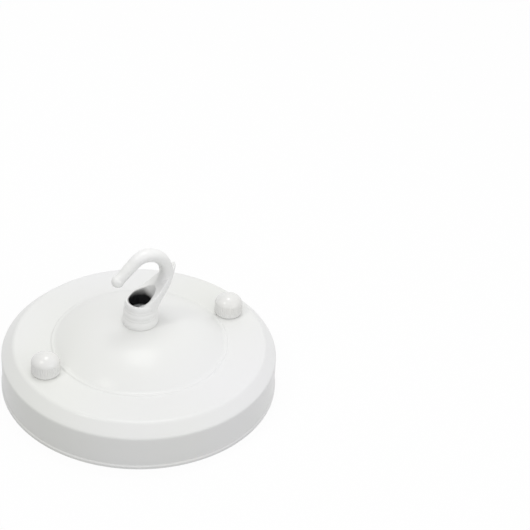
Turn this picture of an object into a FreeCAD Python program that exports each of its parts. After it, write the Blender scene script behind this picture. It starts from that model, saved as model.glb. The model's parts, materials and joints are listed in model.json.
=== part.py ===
import FreeCAD, Part
import math
import os

from FreeCAD import Vector

# Electrical ceiling rose: a pressed sheet canopy with a cast cord-outlet hook.
# Frame: origin at the centre of the rim, rim on z = 0 (the ceiling side), +Z out of the
# face through the hook, the two fixing studs along X, the hook's open side towards -X.
# All sizes are in millimetres.

# Canopy
canopy_d = 108.0
sheet_t = 0.8
lip_out = 0.4
lip_h = 1.0
wall_h = 14.0
shoulder_w = 4.8
shoulder_h = 4.0
shoulder_bend_r = 3.0
ring_step = 0.35
nut_to_shoulder = 2.45
nut_to_step = 0.75
dome_step = 0.5
dome_ledge = 0.9
dome_h = 9.2
dome_sag = 1.9
crown_pad_out = 0.45
shoulder_press_r = 1.1
step_press_r = 0.75

# Studs, their nuts and the thumb nuts
stud_d = 4.0
stud_above_face = 6.2
stud_end_chamfer = 0.5
stud_head_d = 7.0
stud_head_h = 2.4
stud_slot_w = 1.1
stud_slot_deep = 1.2
stud_nut_af = 7.0
stud_nut_h = 3.0
stud_hole_gap = 0.25
thread_gap = 0.05
thumb_d = 11.0
thumb_dome_h = 3.9
thumb_corner_r = 2.9
thumb_chamfer = 0.5
thumb_csk_w = 0.95
thumb_spare_deep = 0.6
thumb_cap_t = 1.5
thumb_mouth_flat = 0.25
knurl_count = 36
knurl_deep = 0.35
knurl_tip_cut = 0.06

# Hook: boss
boss_wall = 1.85
outlet_lip_t = 1.15
bead_heights = (3.2, 1.0, 2.3, 1.0, 2.4)
bead_bulges = (0.35, 0.18, 0.35, 0.18, 0.3)
nipple_stop_t = 0.5
outlet_lean = 15.0
outlet_lean_start = 5.5
outlet_lean_d = 7.2
nipple_in_boss = 4.2
nipple_seat_spare = 0.5

# Hook: bar
throat_r = 7.3
throat_x = 1.2
throat_up = 20.0
bar_thick = 5.0
bar_wide = 5.9
bar_root_angle = -52.0
bend_start_angle = 80.0
bend_end_angle = 131.0
bend_r = 6.7
run_length = 9.6
bar_tip_d = 4.3
tip_oval = 1.02
tip_ball_d = 4.9
bar_root_count = 9
bar_bend_count = 4
bar_run_count = 4

# Hook: leaf-shaped back, as stations up from the boss's base
# back x, back z, lean in degrees, depth, crease depth, crease half width
leaf_stations = (
    (6.65, 3.6, 4.0, 12.6, 0.5, 2.3),
    (7.10, 6.2, 18.0, 12.0, 0.9, 2.9),
    (9.20, 9.6, 33.0, 11.0, 1.7, 3.7),
    (11.60, 13.2, 31.0, 8.8, 2.4, 3.8),
    (13.30, 16.6, 24.0, 6.4, 2.4, 3.3),
    (14.50, 19.8, 15.0, 4.2, 1.9, 2.3),
    (15.10, 22.6, 8.0, 1.7, 0.9, 0.9),
)
mouth_lip_up = 10.1
mouth_arc_r = 19.0
mouth_arc_x = -6.0
mouth_arc_end_x = 8.0
leaf_cut_x = 15.5
leaf_cut_up = 23.4

# Threaded nipple, what clamps it and its bush
nipple_d = 10.0
nipple_bore_d = 7.2
nipple_chamfer = 0.4
nipple_hole_gap = 0.2
nipple_below_nut = 1.0
pad_edge_gap = 0.15
tooth_washer_t = 0.7
tooth_count = 12
tooth_deep = 0.7
tooth_share = 0.55
tag_t = 0.8
tag_nut_gap = 1.0
tag_w = 6.0
tag_drop = 5.0
tag_eye_d = 3.2
lock_nut_wall = 2.0
lock_nut_h = 3.0
lock_nut_chamfer = 0.4
stud_nut_chamfer = 0.3
bush_flange_out = 0.3
bush_flange_t = 1.2
bush_spigot_l = 4.0
bush_wall = 0.6
bush_gap = 0.1

# Strap
strap_w = 14.0
strap_t = 1.5
strap_end_out = 6.5
strap_lift = 3.2
joggle_in = 8.0
strap_joggle_run = 3.0
strap_bend_r = 0.8
cable_hole_d = 9.0
slot_from_hole = 10.5
slot_to_joggle = 5.5
slot_w = 4.6
earth_tab_border = 0.8
earth_tab_rise_run = 2.5
block_tab_w = 13.0
tab_beyond_screw = 3.0

# Earth screw
earth_screw_d = 4.0
earth_screw_l = 4.2
earth_head_d = 8.0
earth_head_h = 2.4
earth_slot_w = 1.2
earth_slot_deep = 1.2
cup_washer_gap = 0.3
cup_lip_t = 0.4
cup_washer_t = 0.8
cup_lip_h = 0.8

# Terminal block
pole_count = 3
pole_wall = 0.3
block_gap_to_strap = 1.4
block_floor = 1.7
block_end_wall = 0.6
block_edge_r = 0.8
turret_wall = 1.1
turret_apart = 7.6
turret_spare_h = 1.6
insert_wall = 1.0
insert_gap = 0.1
insert_l = 13.6
insert_cover = 1.45
wire_bore_d = 3.0
wire_entry_out = 0.5
clamp_screw_d = 2.6
clamp_head_d = 3.2
clamp_head_h = 1.8
clamp_head_up = 2.4
clamp_head_gap = 0.1
clamp_tip_clear = 0.05
clamp_slot_w = 0.6
clamp_slot_deep = 0.7
fix_screw_d = 2.4
fix_head_d = 4.6
fix_head_h = 1.8
fix_seat_up = 2.3
fix_gap = 0.2
fix_slot_w = 0.8
fix_slot_deep = 0.8
fix_end_clear = 0.1

# Worked out from the values above
rim_r = canopy_d / 2
wall_r = rim_r - lip_out
shoulder_r = wall_r - shoulder_w
shoulder_z = wall_h + shoulder_h
face_r = shoulder_r - ring_step
face_z = shoulder_z + ring_step
stud_x = face_r - nut_to_shoulder - thumb_d / 2
step_r = stud_x - thumb_d / 2 - nut_to_step
foot_z = face_z + dome_step
foot_r = step_r - dome_step - dome_ledge
crown_z = foot_z + dome_h
crown_under_z = crown_z - sheet_t
stud_r = stud_d / 2
stud_top_z = face_z + stud_above_face
thumb_blind_deep = stud_above_face + thumb_spare_deep
thumb_h = thumb_blind_deep + thumb_cap_t
thumb_barrel_h = thumb_h - thumb_dome_h
nipple_r = nipple_d / 2
boss_base_r = nipple_r + boss_wall
outlet_bore_r = nipple_r - nipple_stop_t
boss_lip_r = outlet_bore_r + outlet_lip_t
crown_pad_r = boss_base_r + crown_pad_out
crown_hole_r = nipple_r + nipple_hole_gap
washer_r = crown_pad_r - pad_edge_gap
lock_nut_af = nipple_d + 2 * lock_nut_wall
tag_reach = lock_nut_af / math.sqrt(3) + tag_nut_gap + tag_t
strap_end_z = strap_lift
hook_path_r = throat_r + bar_thick / 2
throat_z = crown_z + throat_up
washer_z = crown_under_z - tooth_washer_t
tag_z = washer_z - tag_t
lock_nut_z = tag_z - lock_nut_h
nipple_low_z = lock_nut_z - nipple_below_nut
nipple_top_z = crown_z + nipple_in_boss
strap_half_l = stud_x + strap_end_out
joggle_x = stud_x - joggle_in
slot_from_x = cable_hole_d / 2 + slot_from_hole
slot_to_x = joggle_x - slot_to_joggle
cup_washer_r = earth_head_d / 2 + cup_washer_gap + cup_lip_t
earth_tab_w = 2 * (cup_washer_r + earth_tab_border)
earth_y = -(strap_w / 2 + earth_tab_rise_run + earth_tab_w / 2)
insert_r = wire_bore_d / 2 + insert_wall
chamber_r = insert_r + insert_gap
fix_hole_r = fix_screw_d / 2 + fix_gap
pole_pitch = 2 * (chamber_r + pole_wall + fix_hole_r)
pole_axis_h = block_floor + chamber_r
block_base_h = pole_axis_h + fix_seat_up + fix_head_h
block_h = pole_axis_h + insert_r + clamp_head_up + clamp_head_h + turret_spare_h
block_l = pole_count * pole_pitch + 2 * block_end_wall
block_w = insert_l + 2 * insert_cover
turret_access_r = clamp_head_d / 2 + clamp_head_gap
turret_r = turret_access_r + turret_wall
block_y = strap_w / 2 + block_gap_to_strap + block_w / 2
block_z = strap_t

Z_UP = Vector(0, 0, 1)
Y_IN = Vector(0, 1, 0)
X_OUT = Vector(1, 0, 0)


def flat_point(r, z):
    return Vector(r, 0, z)


def fillet_wire(points, radii):
    """Open polyline in the XZ plane with an arc of the given radius at each inner corner."""
    edges = []
    last = points[0]
    for before, corner, after, radius in zip(points, points[1:], points[2:], radii):
        into = (before - corner).normalize()
        out = (after - corner).normalize()
        half = into.getAngle(out) / 2
        if radius <= 0 or abs(math.pi / 2 - half) < 1e-6:
            edges.append(Part.LineSegment(last, corner).toShape())
            last = corner
            continue
        trim = radius / math.tan(half)
        start = corner + into * trim
        end = corner + out * trim
        bisector = (into + out).normalize()
        middle = corner + bisector * (radius / math.sin(half) - radius)
        if last.distanceToPoint(start) > 1e-6:
            edges.append(Part.LineSegment(last, start).toShape())
        edges.append(Part.Arc(start, middle, end).toShape())
        last = end
    edges.append(Part.LineSegment(last, points[-1]).toShape())
    return edges


def sag_arc(start, end, sag):
    """Arc from start to end in the XZ plane that bulges by sag to the left of its way."""
    way = (end - start).normalize()
    left = Vector(-way.z, 0, way.x)
    middle = (start + end) * 0.5 + left * sag
    return Part.Arc(start, middle, end).toShape()


def revolved(edges):
    """Solid of revolution about Z from a closed run of edges in the XZ plane."""
    face = Part.Face(Part.Wire(Part.__sortEdges__(edges)))
    return face.revolve(Vector(), Z_UP, 360)


def closed_points(points):
    return [Part.LineSegment(a, b).toShape() for a, b in zip(points, points[1:] + points[:1])]


def cylinder(r, z_from, z_to, x=0.0, y=0.0):
    return Part.makeCylinder(r, z_to - z_from, Vector(x, y, z_from), Z_UP)


def ring(r_out, r_in, z_from, z_to, x=0.0, y=0.0):
    return cylinder(r_out, z_from, z_to, x, y).cut(cylinder(r_in, z_from, z_to, x, y))


def box(x_from, x_to, y_from, y_to, z_from, z_to):
    return Part.makeBox(x_to - x_from, y_to - y_from, z_to - z_from, Vector(x_from, y_from, z_from))


def hexagon(across_flats, z_from, z_to, bore_r, chamfer, x=0.0, y=0.0):
    """Hexagon nut whose corners are turned off at both faces."""
    corner_r = across_flats / math.sqrt(3)
    angles = [math.radians(60 * n) for n in range(7)]
    corners = [Vector(corner_r * math.cos(a), corner_r * math.sin(a), z_from) for a in angles]
    prism = Part.Face(Part.makePolygon(corners)).extrude(Z_UP * (z_to - z_from))
    turned = revolved(closed_points([
        flat_point(bore_r, z_from),
        flat_point(corner_r - chamfer * 2, z_from),
        flat_point(corner_r, z_from + chamfer),
        flat_point(corner_r, z_to - chamfer),
        flat_point(corner_r - chamfer * 2, z_to),
        flat_point(bore_r, z_to),
    ]))
    nut = prism.common(turned)
    nut.translate(Vector(x, y, 0))
    return nut


def canopy_skin_edges():
    """Outer side of the pressing, from the rim's edge up to the crown's hole."""
    outline = [
        flat_point(rim_r, 0),
        flat_point(rim_r, lip_h),
        flat_point(wall_r, lip_h + lip_out),
        flat_point(wall_r, wall_h),
        flat_point(shoulder_r, shoulder_z),
        flat_point(face_r, face_z),
        flat_point(step_r, face_z),
        flat_point(step_r - dome_step, foot_z),
        flat_point(foot_r, foot_z),
    ]
    turn = math.tan(math.radians(22.5))
    ring_len = math.hypot(shoulder_r - face_r, face_z - shoulder_z)
    step_len = math.hypot(dome_step, foot_z - face_z)
    face_bend_r = min(shoulder_press_r, 0.96 * ring_len / turn)
    foot_bend_r = min(step_press_r, 0.48 * step_len / turn)
    radii = [0, 0, shoulder_bend_r, 0, face_bend_r, foot_bend_r, foot_bend_r]
    edges = fillet_wire(outline, radii)
    crown = flat_point(crown_pad_r, crown_z)
    edges.append(sag_arc(flat_point(foot_r, foot_z), crown, -dome_sag))
    edges.append(Part.LineSegment(crown, flat_point(crown_hole_r, crown_z)).toShape())
    return edges


def make_canopy():
    """One pressed sheet: lip, wall, bent shoulder, flat face, step and shallow dome."""
    skin = Part.Wire(canopy_skin_edges())
    sheet = skin.makeOffset2D(sheet_t, 2, True, True)
    canopy = sheet.revolve(Vector(), Z_UP, 360)
    hole_r = stud_r + stud_hole_gap
    for side in (-1, 1):
        canopy = canopy.cut(cylinder(hole_r, 0, crown_z, side * stud_x))
    return canopy.cut(cylinder(crown_hole_r, 0, crown_z + sheet_t))


def boss_edges():
    """Half profile of the boss: stacked beads that taper to the outlet's lip."""
    total = sum(bead_heights)
    edges = []
    z = crown_z
    for height, bulge in zip(bead_heights, bead_bulges):
        start_r = boss_base_r + (boss_lip_r - boss_base_r) * (z - crown_z) / total
        end_r = boss_base_r + (boss_lip_r - boss_base_r) * (z + height - crown_z) / total
        edges.append(sag_arc(flat_point(start_r, z), flat_point(end_r, z + height), -bulge))
        z += height
    edges.append(Part.LineSegment(flat_point(boss_lip_r, z), flat_point(0, z)).toShape())
    edges.append(Part.LineSegment(flat_point(0, z), flat_point(0, crown_z)).toShape())
    edges.append(Part.LineSegment(flat_point(0, crown_z), flat_point(boss_base_r, crown_z)).toShape())
    return edges


def leaf_section(back_x, back_up, lean, depth, crease, half_w):
    """Closed section of the leaf: a back arc and a front arc that meet in two creases."""
    angle = math.radians(lean)
    inward = Vector(-math.cos(angle), 0, math.sin(angle))
    back = Vector(back_x, 0, crown_z + back_up)
    front = back + inward * depth
    side = Y_IN * half_w
    left = back + inward * crease + side
    right = back + inward * crease - side
    return Part.Wire([Part.Arc(left, back, right).toShape(), Part.Arc(right, front, left).toShape()])


def mouth_cutter():
    """Everything above the oblique outlet and the leaf's straight edge."""
    far = 4 * throat_r
    arc_centre_z = crown_z + mouth_lip_up + mouth_arc_r
    end_z = arc_centre_z - math.sqrt(mouth_arc_r ** 2 - (mouth_arc_end_x - mouth_arc_x) ** 2)
    start = flat_point(mouth_arc_x, crown_z + mouth_lip_up)
    end = flat_point(mouth_arc_end_x, end_z)
    swing = math.asin((mouth_arc_end_x - mouth_arc_x) / mouth_arc_r) / 2
    middle_x = mouth_arc_x + mouth_arc_r * math.sin(swing)
    middle = flat_point(middle_x, arc_centre_z - mouth_arc_r * math.cos(swing))
    tip = flat_point(leaf_cut_x, crown_z + leaf_cut_up)
    top_z = crown_z + 2 * throat_up
    outline = [
        Part.LineSegment(flat_point(-far, crown_z + mouth_lip_up), start).toShape(),
        Part.Arc(start, middle, end).toShape(),
        Part.LineSegment(end, tip).toShape(),
        Part.LineSegment(tip, flat_point(far, crown_z + leaf_cut_up)).toShape(),
        Part.LineSegment(flat_point(far, crown_z + leaf_cut_up), flat_point(far, top_z)).toShape(),
        Part.LineSegment(flat_point(far, top_z), flat_point(-far, top_z)).toShape(),
        Part.LineSegment(flat_point(-far, top_z), flat_point(-far, crown_z + mouth_lip_up)).toShape(),
    ]
    face = Part.Face(Part.Wire(outline))
    face.translate(Y_IN * -far)
    return face.extrude(Y_IN * (2 * far))


def path_point(centre, radius, degrees):
    angle = math.radians(degrees)
    return centre + Vector(math.cos(angle), 0, math.sin(angle)) * radius


def bar_section(place, way, thick, wide):
    """Oval section of the bar at a place on its path, wide across the hook's plane."""
    radial = Y_IN.cross(way).normalize()
    width_edge, thick_edge = place + Y_IN * (wide / 2), place + radial * (thick / 2)
    if thick > wide:
        return Part.Wire(Part.Ellipse(thick_edge, width_edge, place).toShape())
    return Part.Wire(Part.Ellipse(width_edge, thick_edge, place).toShape())


def hook_bar():
    """Tapered oval bar, from its root in the leaf round the throat to the ball at its tip."""
    throat = Vector(throat_x, 0, throat_z)
    bend_centre = path_point(throat, hook_path_r - bend_r, bend_start_angle)
    sections = []
    for n in range(bar_root_count + 1):
        degrees = bar_root_angle + (bend_start_angle - bar_root_angle) * n / bar_root_count
        sections.append((path_point(throat, hook_path_r, degrees), degrees, 0))
    for n in range(1, bar_bend_count + 1):
        degrees = bend_start_angle + (bend_end_angle - bend_start_angle) * n / bar_bend_count
        share = n / (bar_bend_count + bar_run_count)
        sections.append((path_point(bend_centre, bend_r, degrees), degrees, share))
    run_start = sections[-1][0]
    angle = math.radians(bend_end_angle)
    run_way = Vector(-math.sin(angle), 0, math.cos(angle))
    for n in range(1, bar_run_count + 1):
        share = (bar_bend_count + n) / (bar_bend_count + bar_run_count)
        sections.append((run_start + run_way * (run_length * n / bar_run_count), bend_end_angle, share))
    wires = []
    for place, degrees, share in sections:
        angle = math.radians(degrees)
        way = Vector(-math.sin(angle), 0, math.cos(angle))
        thick = bar_thick + (bar_tip_d - bar_thick) * share
        wide = bar_wide + (bar_tip_d * tip_oval - bar_wide) * share
        wires.append(bar_section(place, way, thick, wide))
    bar = Part.makeLoft(wires, True, False)
    return bar.fuse(Part.makeSphere(tip_ball_d / 2, sections[-1][0]))


def make_hook():
    """One casting: beaded boss, oblique cord outlet, leaf-shaped back and round hook."""
    boss = revolved(boss_edges())
    leaf = Part.makeLoft([leaf_section(*station) for station in leaf_stations], True, False)
    cast = boss.fuse(leaf).cut(mouth_cutter())
    lean = math.radians(outlet_lean)
    bore = cylinder(outlet_bore_r, crown_z, crown_z + 2 * mouth_lip_up)
    lean_way = Vector(math.sin(lean), 0, math.cos(lean))
    lean_start = Vector(0, 0, crown_z + outlet_lean_start)
    leaning = Part.makeCylinder(outlet_lean_d / 2, throat_up, lean_start, lean_way)
    thread = cylinder(nipple_r + thread_gap, crown_z, nipple_top_z + nipple_seat_spare)
    cast = cast.fuse(hook_bar()).cut(bore.fuse(leaning)).cut(thread)
    return cast.removeSplitter()


def make_nipple():
    """Hollow threaded tube that joins the hook to the canopy and leads the cord out."""
    bore_r = nipple_bore_d / 2
    tube = revolved(closed_points([
        flat_point(bore_r, nipple_low_z),
        flat_point(nipple_r - nipple_chamfer, nipple_low_z),
        flat_point(nipple_r, nipple_low_z + nipple_chamfer),
        flat_point(nipple_r, nipple_top_z - nipple_chamfer),
        flat_point(nipple_r - nipple_chamfer, nipple_top_z),
        flat_point(bore_r, nipple_top_z),
    ]))
    return tube


def make_tooth_washer():
    washer = ring(washer_r, crown_hole_r, washer_z, crown_under_z)
    gap_half = math.pi / tooth_count * (1 - tooth_share)
    root_r = washer_r - tooth_deep
    far_r = 2 * washer_r
    cutters = []
    for n in range(tooth_count):
        middle = 2 * math.pi * n / tooth_count
        corners = [
            Vector(root_r * math.cos(middle), root_r * math.sin(middle), washer_z),
            Vector(far_r * math.cos(middle - gap_half), far_r * math.sin(middle - gap_half), washer_z),
            Vector(far_r * math.cos(middle + gap_half), far_r * math.sin(middle + gap_half), washer_z),
        ]
        wedge = Part.Face(Part.makePolygon(corners + corners[:1]))
        cutters.append(wedge.extrude(Z_UP * tooth_washer_t))
    return washer.cut(cutters)


def make_earth_tag():
    """Ring tag under the lock nut, with a tail bent down that takes the earth lead."""
    disc = cylinder(washer_r, tag_z, washer_z)
    tail = box(-tag_reach, 0, -tag_w / 2, tag_w / 2, tag_z, washer_z)
    drop = box(-tag_reach, -tag_reach + tag_t, -tag_w / 2, tag_w / 2, tag_z - tag_drop, washer_z)
    eye_start = Vector(-tag_reach - tag_t / 2, 0, tag_z - tag_drop / 2)
    eye = Part.makeCylinder(tag_eye_d / 2, 2 * tag_t, eye_start, X_OUT)
    tag = disc.fuse([tail, drop]).cut([cylinder(crown_hole_r, tag_z, washer_z), eye])
    return tag.removeSplitter()


def make_lock_nut():
    return hexagon(lock_nut_af, lock_nut_z, tag_z, nipple_r + thread_gap, lock_nut_chamfer)


def make_bush():
    """Plastic bush that guards the cord at the nipple's inner end."""
    spigot_r = nipple_bore_d / 2 - bush_gap
    bore_r = spigot_r - bush_wall
    flange_r = nipple_r + bush_flange_out
    flange_z = nipple_low_z - bush_flange_t
    return revolved(closed_points([
        flat_point(bore_r, flange_z),
        flat_point(flange_r - bush_wall, flange_z),
        flat_point(flange_r, flange_z + bush_wall),
        flat_point(flange_r, nipple_low_z),
        flat_point(spigot_r, nipple_low_z),
        flat_point(spigot_r, nipple_low_z + bush_spigot_l),
        flat_point(bore_r, nipple_low_z + bush_spigot_l),
    ]))


def slot(x_from, x_to, width, z_from, z_to):
    half = width / 2
    middle = box(x_from, x_to, -half, half, z_from, z_to)
    return middle.fuse([cylinder(half, z_from, z_to, x_from), cylinder(half, z_from, z_to, x_to)])


def strap_side_face():
    """Side outline of the strap: flat on the ceiling, ends joggled off it."""
    side_y = -strap_w / 2
    under = [
        Vector(-strap_half_l, side_y, strap_lift),
        Vector(-joggle_x - strap_joggle_run, side_y, strap_lift),
        Vector(-joggle_x, side_y, 0),
        Vector(joggle_x, side_y, 0),
        Vector(joggle_x + strap_joggle_run, side_y, strap_lift),
        Vector(strap_half_l, side_y, strap_lift),
    ]
    inner_r = strap_bend_r
    outer_r = strap_bend_r + strap_t
    wire = Part.Wire(fillet_wire(under, [inner_r, outer_r, outer_r, inner_r]))
    return wire.makeOffset2D(strap_t, 2, True, True)


def make_strap():
    """Stamped strap with two ceiling slots, an earth tab and a tab for the terminals."""
    strap = strap_side_face().extrude(Y_IN * strap_w)
    half_w = strap_w / 2
    tab = box(-block_tab_w / 2, block_tab_w / 2, 0, block_y + tab_beyond_screw, 0, strap_t)
    side_x = -earth_tab_w / 2
    rise_y = -half_w - earth_tab_rise_run
    end_y = rise_y - earth_tab_w
    rise = [
        Vector(side_x, 0, 0),
        Vector(side_x, -half_w, 0),
        Vector(side_x, rise_y, strap_lift),
        Vector(side_x, end_y, strap_lift),
        Vector(side_x, end_y, strap_lift + strap_t),
        Vector(side_x, rise_y, strap_lift + strap_t),
        Vector(side_x, -half_w, strap_t),
        Vector(side_x, 0, strap_t),
    ]
    earth_tab = Part.Face(Part.makePolygon(rise + rise[:1])).extrude(X_OUT * earth_tab_w)
    strap = strap.fuse([tab, earth_tab])
    holes = [
        cylinder(cable_hole_d / 2, 0, strap_t),
        cylinder(earth_screw_d / 2 + thread_gap, 0, strap_lift + strap_t, 0, earth_y),
        cylinder(fix_screw_d / 2 + thread_gap, 0, strap_t, fix_x(), block_y),
    ]
    for side in (-1, 1):
        ends = sorted((side * slot_from_x, side * slot_to_x))
        holes.append(slot(ends[0], ends[1], slot_w, 0, strap_t))
        holes.append(cylinder(stud_r + thread_gap, 0, strap_lift + strap_t, side * stud_x))
    return strap.cut(holes).removeSplitter()


def make_stud(side):
    """Slotted screw put in from the ceiling side; its thread stands out of the face."""
    x = side * stud_x
    head_z = strap_end_z - stud_head_h
    head = revolved(closed_points([
        flat_point(0, head_z),
        flat_point(stud_head_d / 2, head_z),
        flat_point(stud_head_d / 2, strap_end_z),
        flat_point(stud_r, strap_end_z),
        flat_point(stud_r, stud_top_z - stud_end_chamfer),
        flat_point(stud_r - stud_end_chamfer, stud_top_z),
        flat_point(0, stud_top_z),
    ]))
    cut = box(-stud_head_d, stud_head_d, -stud_slot_w / 2, stud_slot_w / 2, head_z, head_z + stud_slot_deep)
    stud = head.cut(cut)
    stud.translate(Vector(x, 0, 0))
    return stud


def make_stud_nut(side):
    low = strap_end_z + strap_t
    return hexagon(stud_nut_af, low, low + stud_nut_h, stud_r + thread_gap, stud_nut_chamfer, side * stud_x)


def knurl_prism():
    """Upright prism with knurl_count V ribs, whose tips the barrel turns off."""
    outer = thumb_d / 2 + knurl_tip_cut
    corners = []
    for n in range(2 * knurl_count + 1):
        radius = outer if n % 2 == 0 else outer - knurl_deep
        angle = math.pi * n / knurl_count
        corners.append(Vector(radius * math.cos(angle), radius * math.sin(angle), 0))
    return Part.Face(Part.makePolygon(corners)).extrude(Z_UP * thumb_h)


def make_thumb_nut(side):
    """Closed cap nut: knurled barrel, rounded end, blind threaded hole with a countersink."""
    outer = thumb_d / 2
    rise = thumb_h - thumb_barrel_h
    inset = outer - thumb_corner_r
    cap_r = (inset ** 2 + rise ** 2 - thumb_corner_r ** 2) / (2 * (rise - thumb_corner_r))
    corner_centre = flat_point(inset, thumb_barrel_h)
    cap_centre = flat_point(0, thumb_h - cap_r)
    lean = math.atan2(corner_centre.x, corner_centre.z - cap_centre.z)
    rim = flat_point(outer, thumb_barrel_h)
    join = flat_point(cap_r * math.sin(lean), cap_centre.z + cap_r * math.cos(lean))
    corner_mid = path_point(corner_centre, thumb_corner_r, (90 - math.degrees(lean)) / 2)
    cap_mid = flat_point(cap_r * math.sin(lean / 2), cap_centre.z + cap_r * math.cos(lean / 2))
    top = flat_point(0, thumb_h)
    outline = [
        Part.LineSegment(flat_point(0, 0), flat_point(outer - thumb_chamfer, 0)).toShape(),
        Part.LineSegment(flat_point(outer - thumb_chamfer, 0), flat_point(outer, thumb_chamfer)).toShape(),
        Part.LineSegment(flat_point(outer, thumb_chamfer), rim).toShape(),
        Part.Arc(rim, corner_mid, join).toShape(),
        Part.Arc(join, cap_mid, top).toShape(),
        Part.LineSegment(top, flat_point(0, 0)).toShape(),
    ]
    nut = revolved(outline).common(knurl_prism())
    bore_r = stud_r + thread_gap
    csk_r = bore_r + thumb_csk_w
    hole = revolved(closed_points([
        flat_point(0, 0),
        flat_point(csk_r, 0),
        flat_point(csk_r, thumb_mouth_flat),
        flat_point(bore_r, thumb_mouth_flat + csk_r - bore_r),
        flat_point(bore_r, thumb_blind_deep),
        flat_point(0, thumb_blind_deep),
    ]))
    nut = nut.cut(hole)
    nut.translate(Vector(side * stud_x, 0, face_z))
    return nut


def make_cup_washer():
    low = strap_lift + strap_t
    hole_r = earth_screw_d / 2 + thread_gap
    lip_z = low + cup_washer_t + cup_lip_h
    washer = revolved(closed_points([
        flat_point(hole_r, low),
        flat_point(cup_washer_r, low),
        flat_point(cup_washer_r, lip_z),
        flat_point(cup_washer_r - cup_lip_t, lip_z),
        flat_point(cup_washer_r - cup_lip_t, low + cup_washer_t),
        flat_point(hole_r, low + cup_washer_t),
    ]))
    washer.translate(Vector(0, earth_y, 0))
    return washer


def slotted_screw(shank_r, shank_z, head_r, head_z, top_z, slot_w_here, slot_deep_here, x, y):
    """Upright screw, head up, with a straight slot."""
    body = revolved(closed_points([
        flat_point(0, shank_z),
        flat_point(shank_r, shank_z),
        flat_point(shank_r, head_z),
        flat_point(head_r, head_z),
        flat_point(head_r, top_z),
        flat_point(0, top_z),
    ]))
    cut = box(-2 * head_r, 2 * head_r, -slot_w_here / 2, slot_w_here / 2, top_z - slot_deep_here, top_z)
    screw = body.cut(cut)
    screw.translate(Vector(x, y, 0))
    return screw


def make_earth_screw():
    head_z = strap_lift + strap_t + cup_washer_t
    return slotted_screw(
        earth_screw_d / 2, head_z - earth_screw_l, earth_head_d / 2, head_z, head_z + earth_head_h,
        earth_slot_w, earth_slot_deep, 0, earth_y,
    )


def pole_x(n):
    return (n - (pole_count - 1) / 2) * pole_pitch


def fix_x():
    return (pole_x(0) + pole_x(1)) / 2


def fix_seat_z():
    return block_z + pole_axis_h + fix_seat_up


def turret_ys():
    return (block_y - turret_apart / 2, block_y + turret_apart / 2)


def make_block():
    """Moulded terminal housing: a rounded base with a turret over each clamping screw."""
    half_l = block_l / 2
    half_w = block_w / 2
    body = box(-half_l, half_l, block_y - half_w, block_y + half_w, block_z, block_z + block_base_h)
    upright = [edge for edge in body.Edges if abs(edge.BoundBox.ZLength - block_base_h) < 1e-6]
    body = body.makeFillet(block_edge_r, upright)
    turrets = []
    holes = [
        cylinder(fix_hole_r, block_z, block_z + block_base_h, fix_x(), block_y),
        cylinder(fix_head_d / 2 + fix_gap, fix_seat_z(), block_z + block_h, fix_x(), block_y),
    ]
    axis_z = block_z + pole_axis_h
    wire_entry_r = wire_bore_d / 2 + wire_entry_out
    y_low = block_y - half_w
    for n in range(pole_count):
        x = pole_x(n)
        chamber_l = block_w / 2 + insert_l / 2
        holes.append(Part.makeCylinder(chamber_r, chamber_l, Vector(x, y_low, axis_z), Y_IN))
        holes.append(Part.makeCylinder(wire_entry_r, block_w, Vector(x, y_low, axis_z), Y_IN))
        for y in turret_ys():
            turrets.append(cylinder(turret_r, axis_z, block_z + block_h, x, y))
            holes.append(cylinder(turret_access_r, axis_z, block_z + block_h, x, y))
    return body.fuse(turrets).cut(holes).removeSplitter()


def make_insert(n):
    """Brass tube of one pole, tapped twice for its clamping screws."""
    axis_z = block_z + pole_axis_h
    start = Vector(pole_x(n), block_y - insert_l / 2, axis_z)
    tube = Part.makeCylinder(insert_r, insert_l, start, Y_IN)
    tube = tube.cut(Part.makeCylinder(wire_bore_d / 2, insert_l, start, Y_IN))
    tap_r = clamp_screw_d / 2 + thread_gap
    taps = [cylinder(tap_r, axis_z, axis_z + 2 * insert_r, pole_x(n), y) for y in turret_ys()]
    return tube.cut(taps)


def make_clamp_screw(n, row):
    axis_z = block_z + pole_axis_h
    head_z = axis_z + insert_r + clamp_head_up
    shank_z = axis_z + wire_bore_d / 2 + clamp_tip_clear
    return slotted_screw(
        clamp_screw_d / 2, shank_z, clamp_head_d / 2, head_z, head_z + clamp_head_h,
        clamp_slot_w, clamp_slot_deep, pole_x(n), turret_ys()[row],
    )


def make_fix_screw():
    head_z = fix_seat_z()
    return slotted_screw(
        fix_screw_d / 2, fix_end_clear, fix_head_d / 2, head_z, head_z + fix_head_h,
        fix_slot_w, fix_slot_deep, fix_x(), block_y,
    )


def make_parts():
    parts = {
        "canopy": make_canopy(),
        "hook": make_hook(),
        "threaded_nipple": make_nipple(),
        "tooth_washer": make_tooth_washer(),
        "earth_tag": make_earth_tag(),
        "lock_nut": make_lock_nut(),
        "cord_bush": make_bush(),
        "strap": make_strap(),
        "earth_screw": make_earth_screw(),
        "cup_washer": make_cup_washer(),
        "terminal_housing": make_block(),
        "terminal_fixing_screw": make_fix_screw(),
    }
    for name, side in (("left", -1), ("right", 1)):
        parts["stud_" + name] = make_stud(side)
        parts["stud_nut_" + name] = make_stud_nut(side)
        parts["thumb_nut_" + name] = make_thumb_nut(side)
    for n in range(pole_count):
        parts["terminal_insert_%d" % (n + 1)] = make_insert(n)
        for row, place in enumerate(("inner", "outer")):
            parts["clamp_screw_%s_%d" % (place, n + 1)] = make_clamp_screw(n, row)
    return parts


os.makedirs("parts", exist_ok=True)
for name, shape in make_parts().items():
    shape.exportStep(os.path.join("parts", name + ".step"))
    print(name, shape.isValid(), len(shape.Solids), round(shape.Volume, 2), len(shape.Faces))
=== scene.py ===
import json
import math

import bmesh
import bpy
from mathutils import Matrix, Vector

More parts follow.
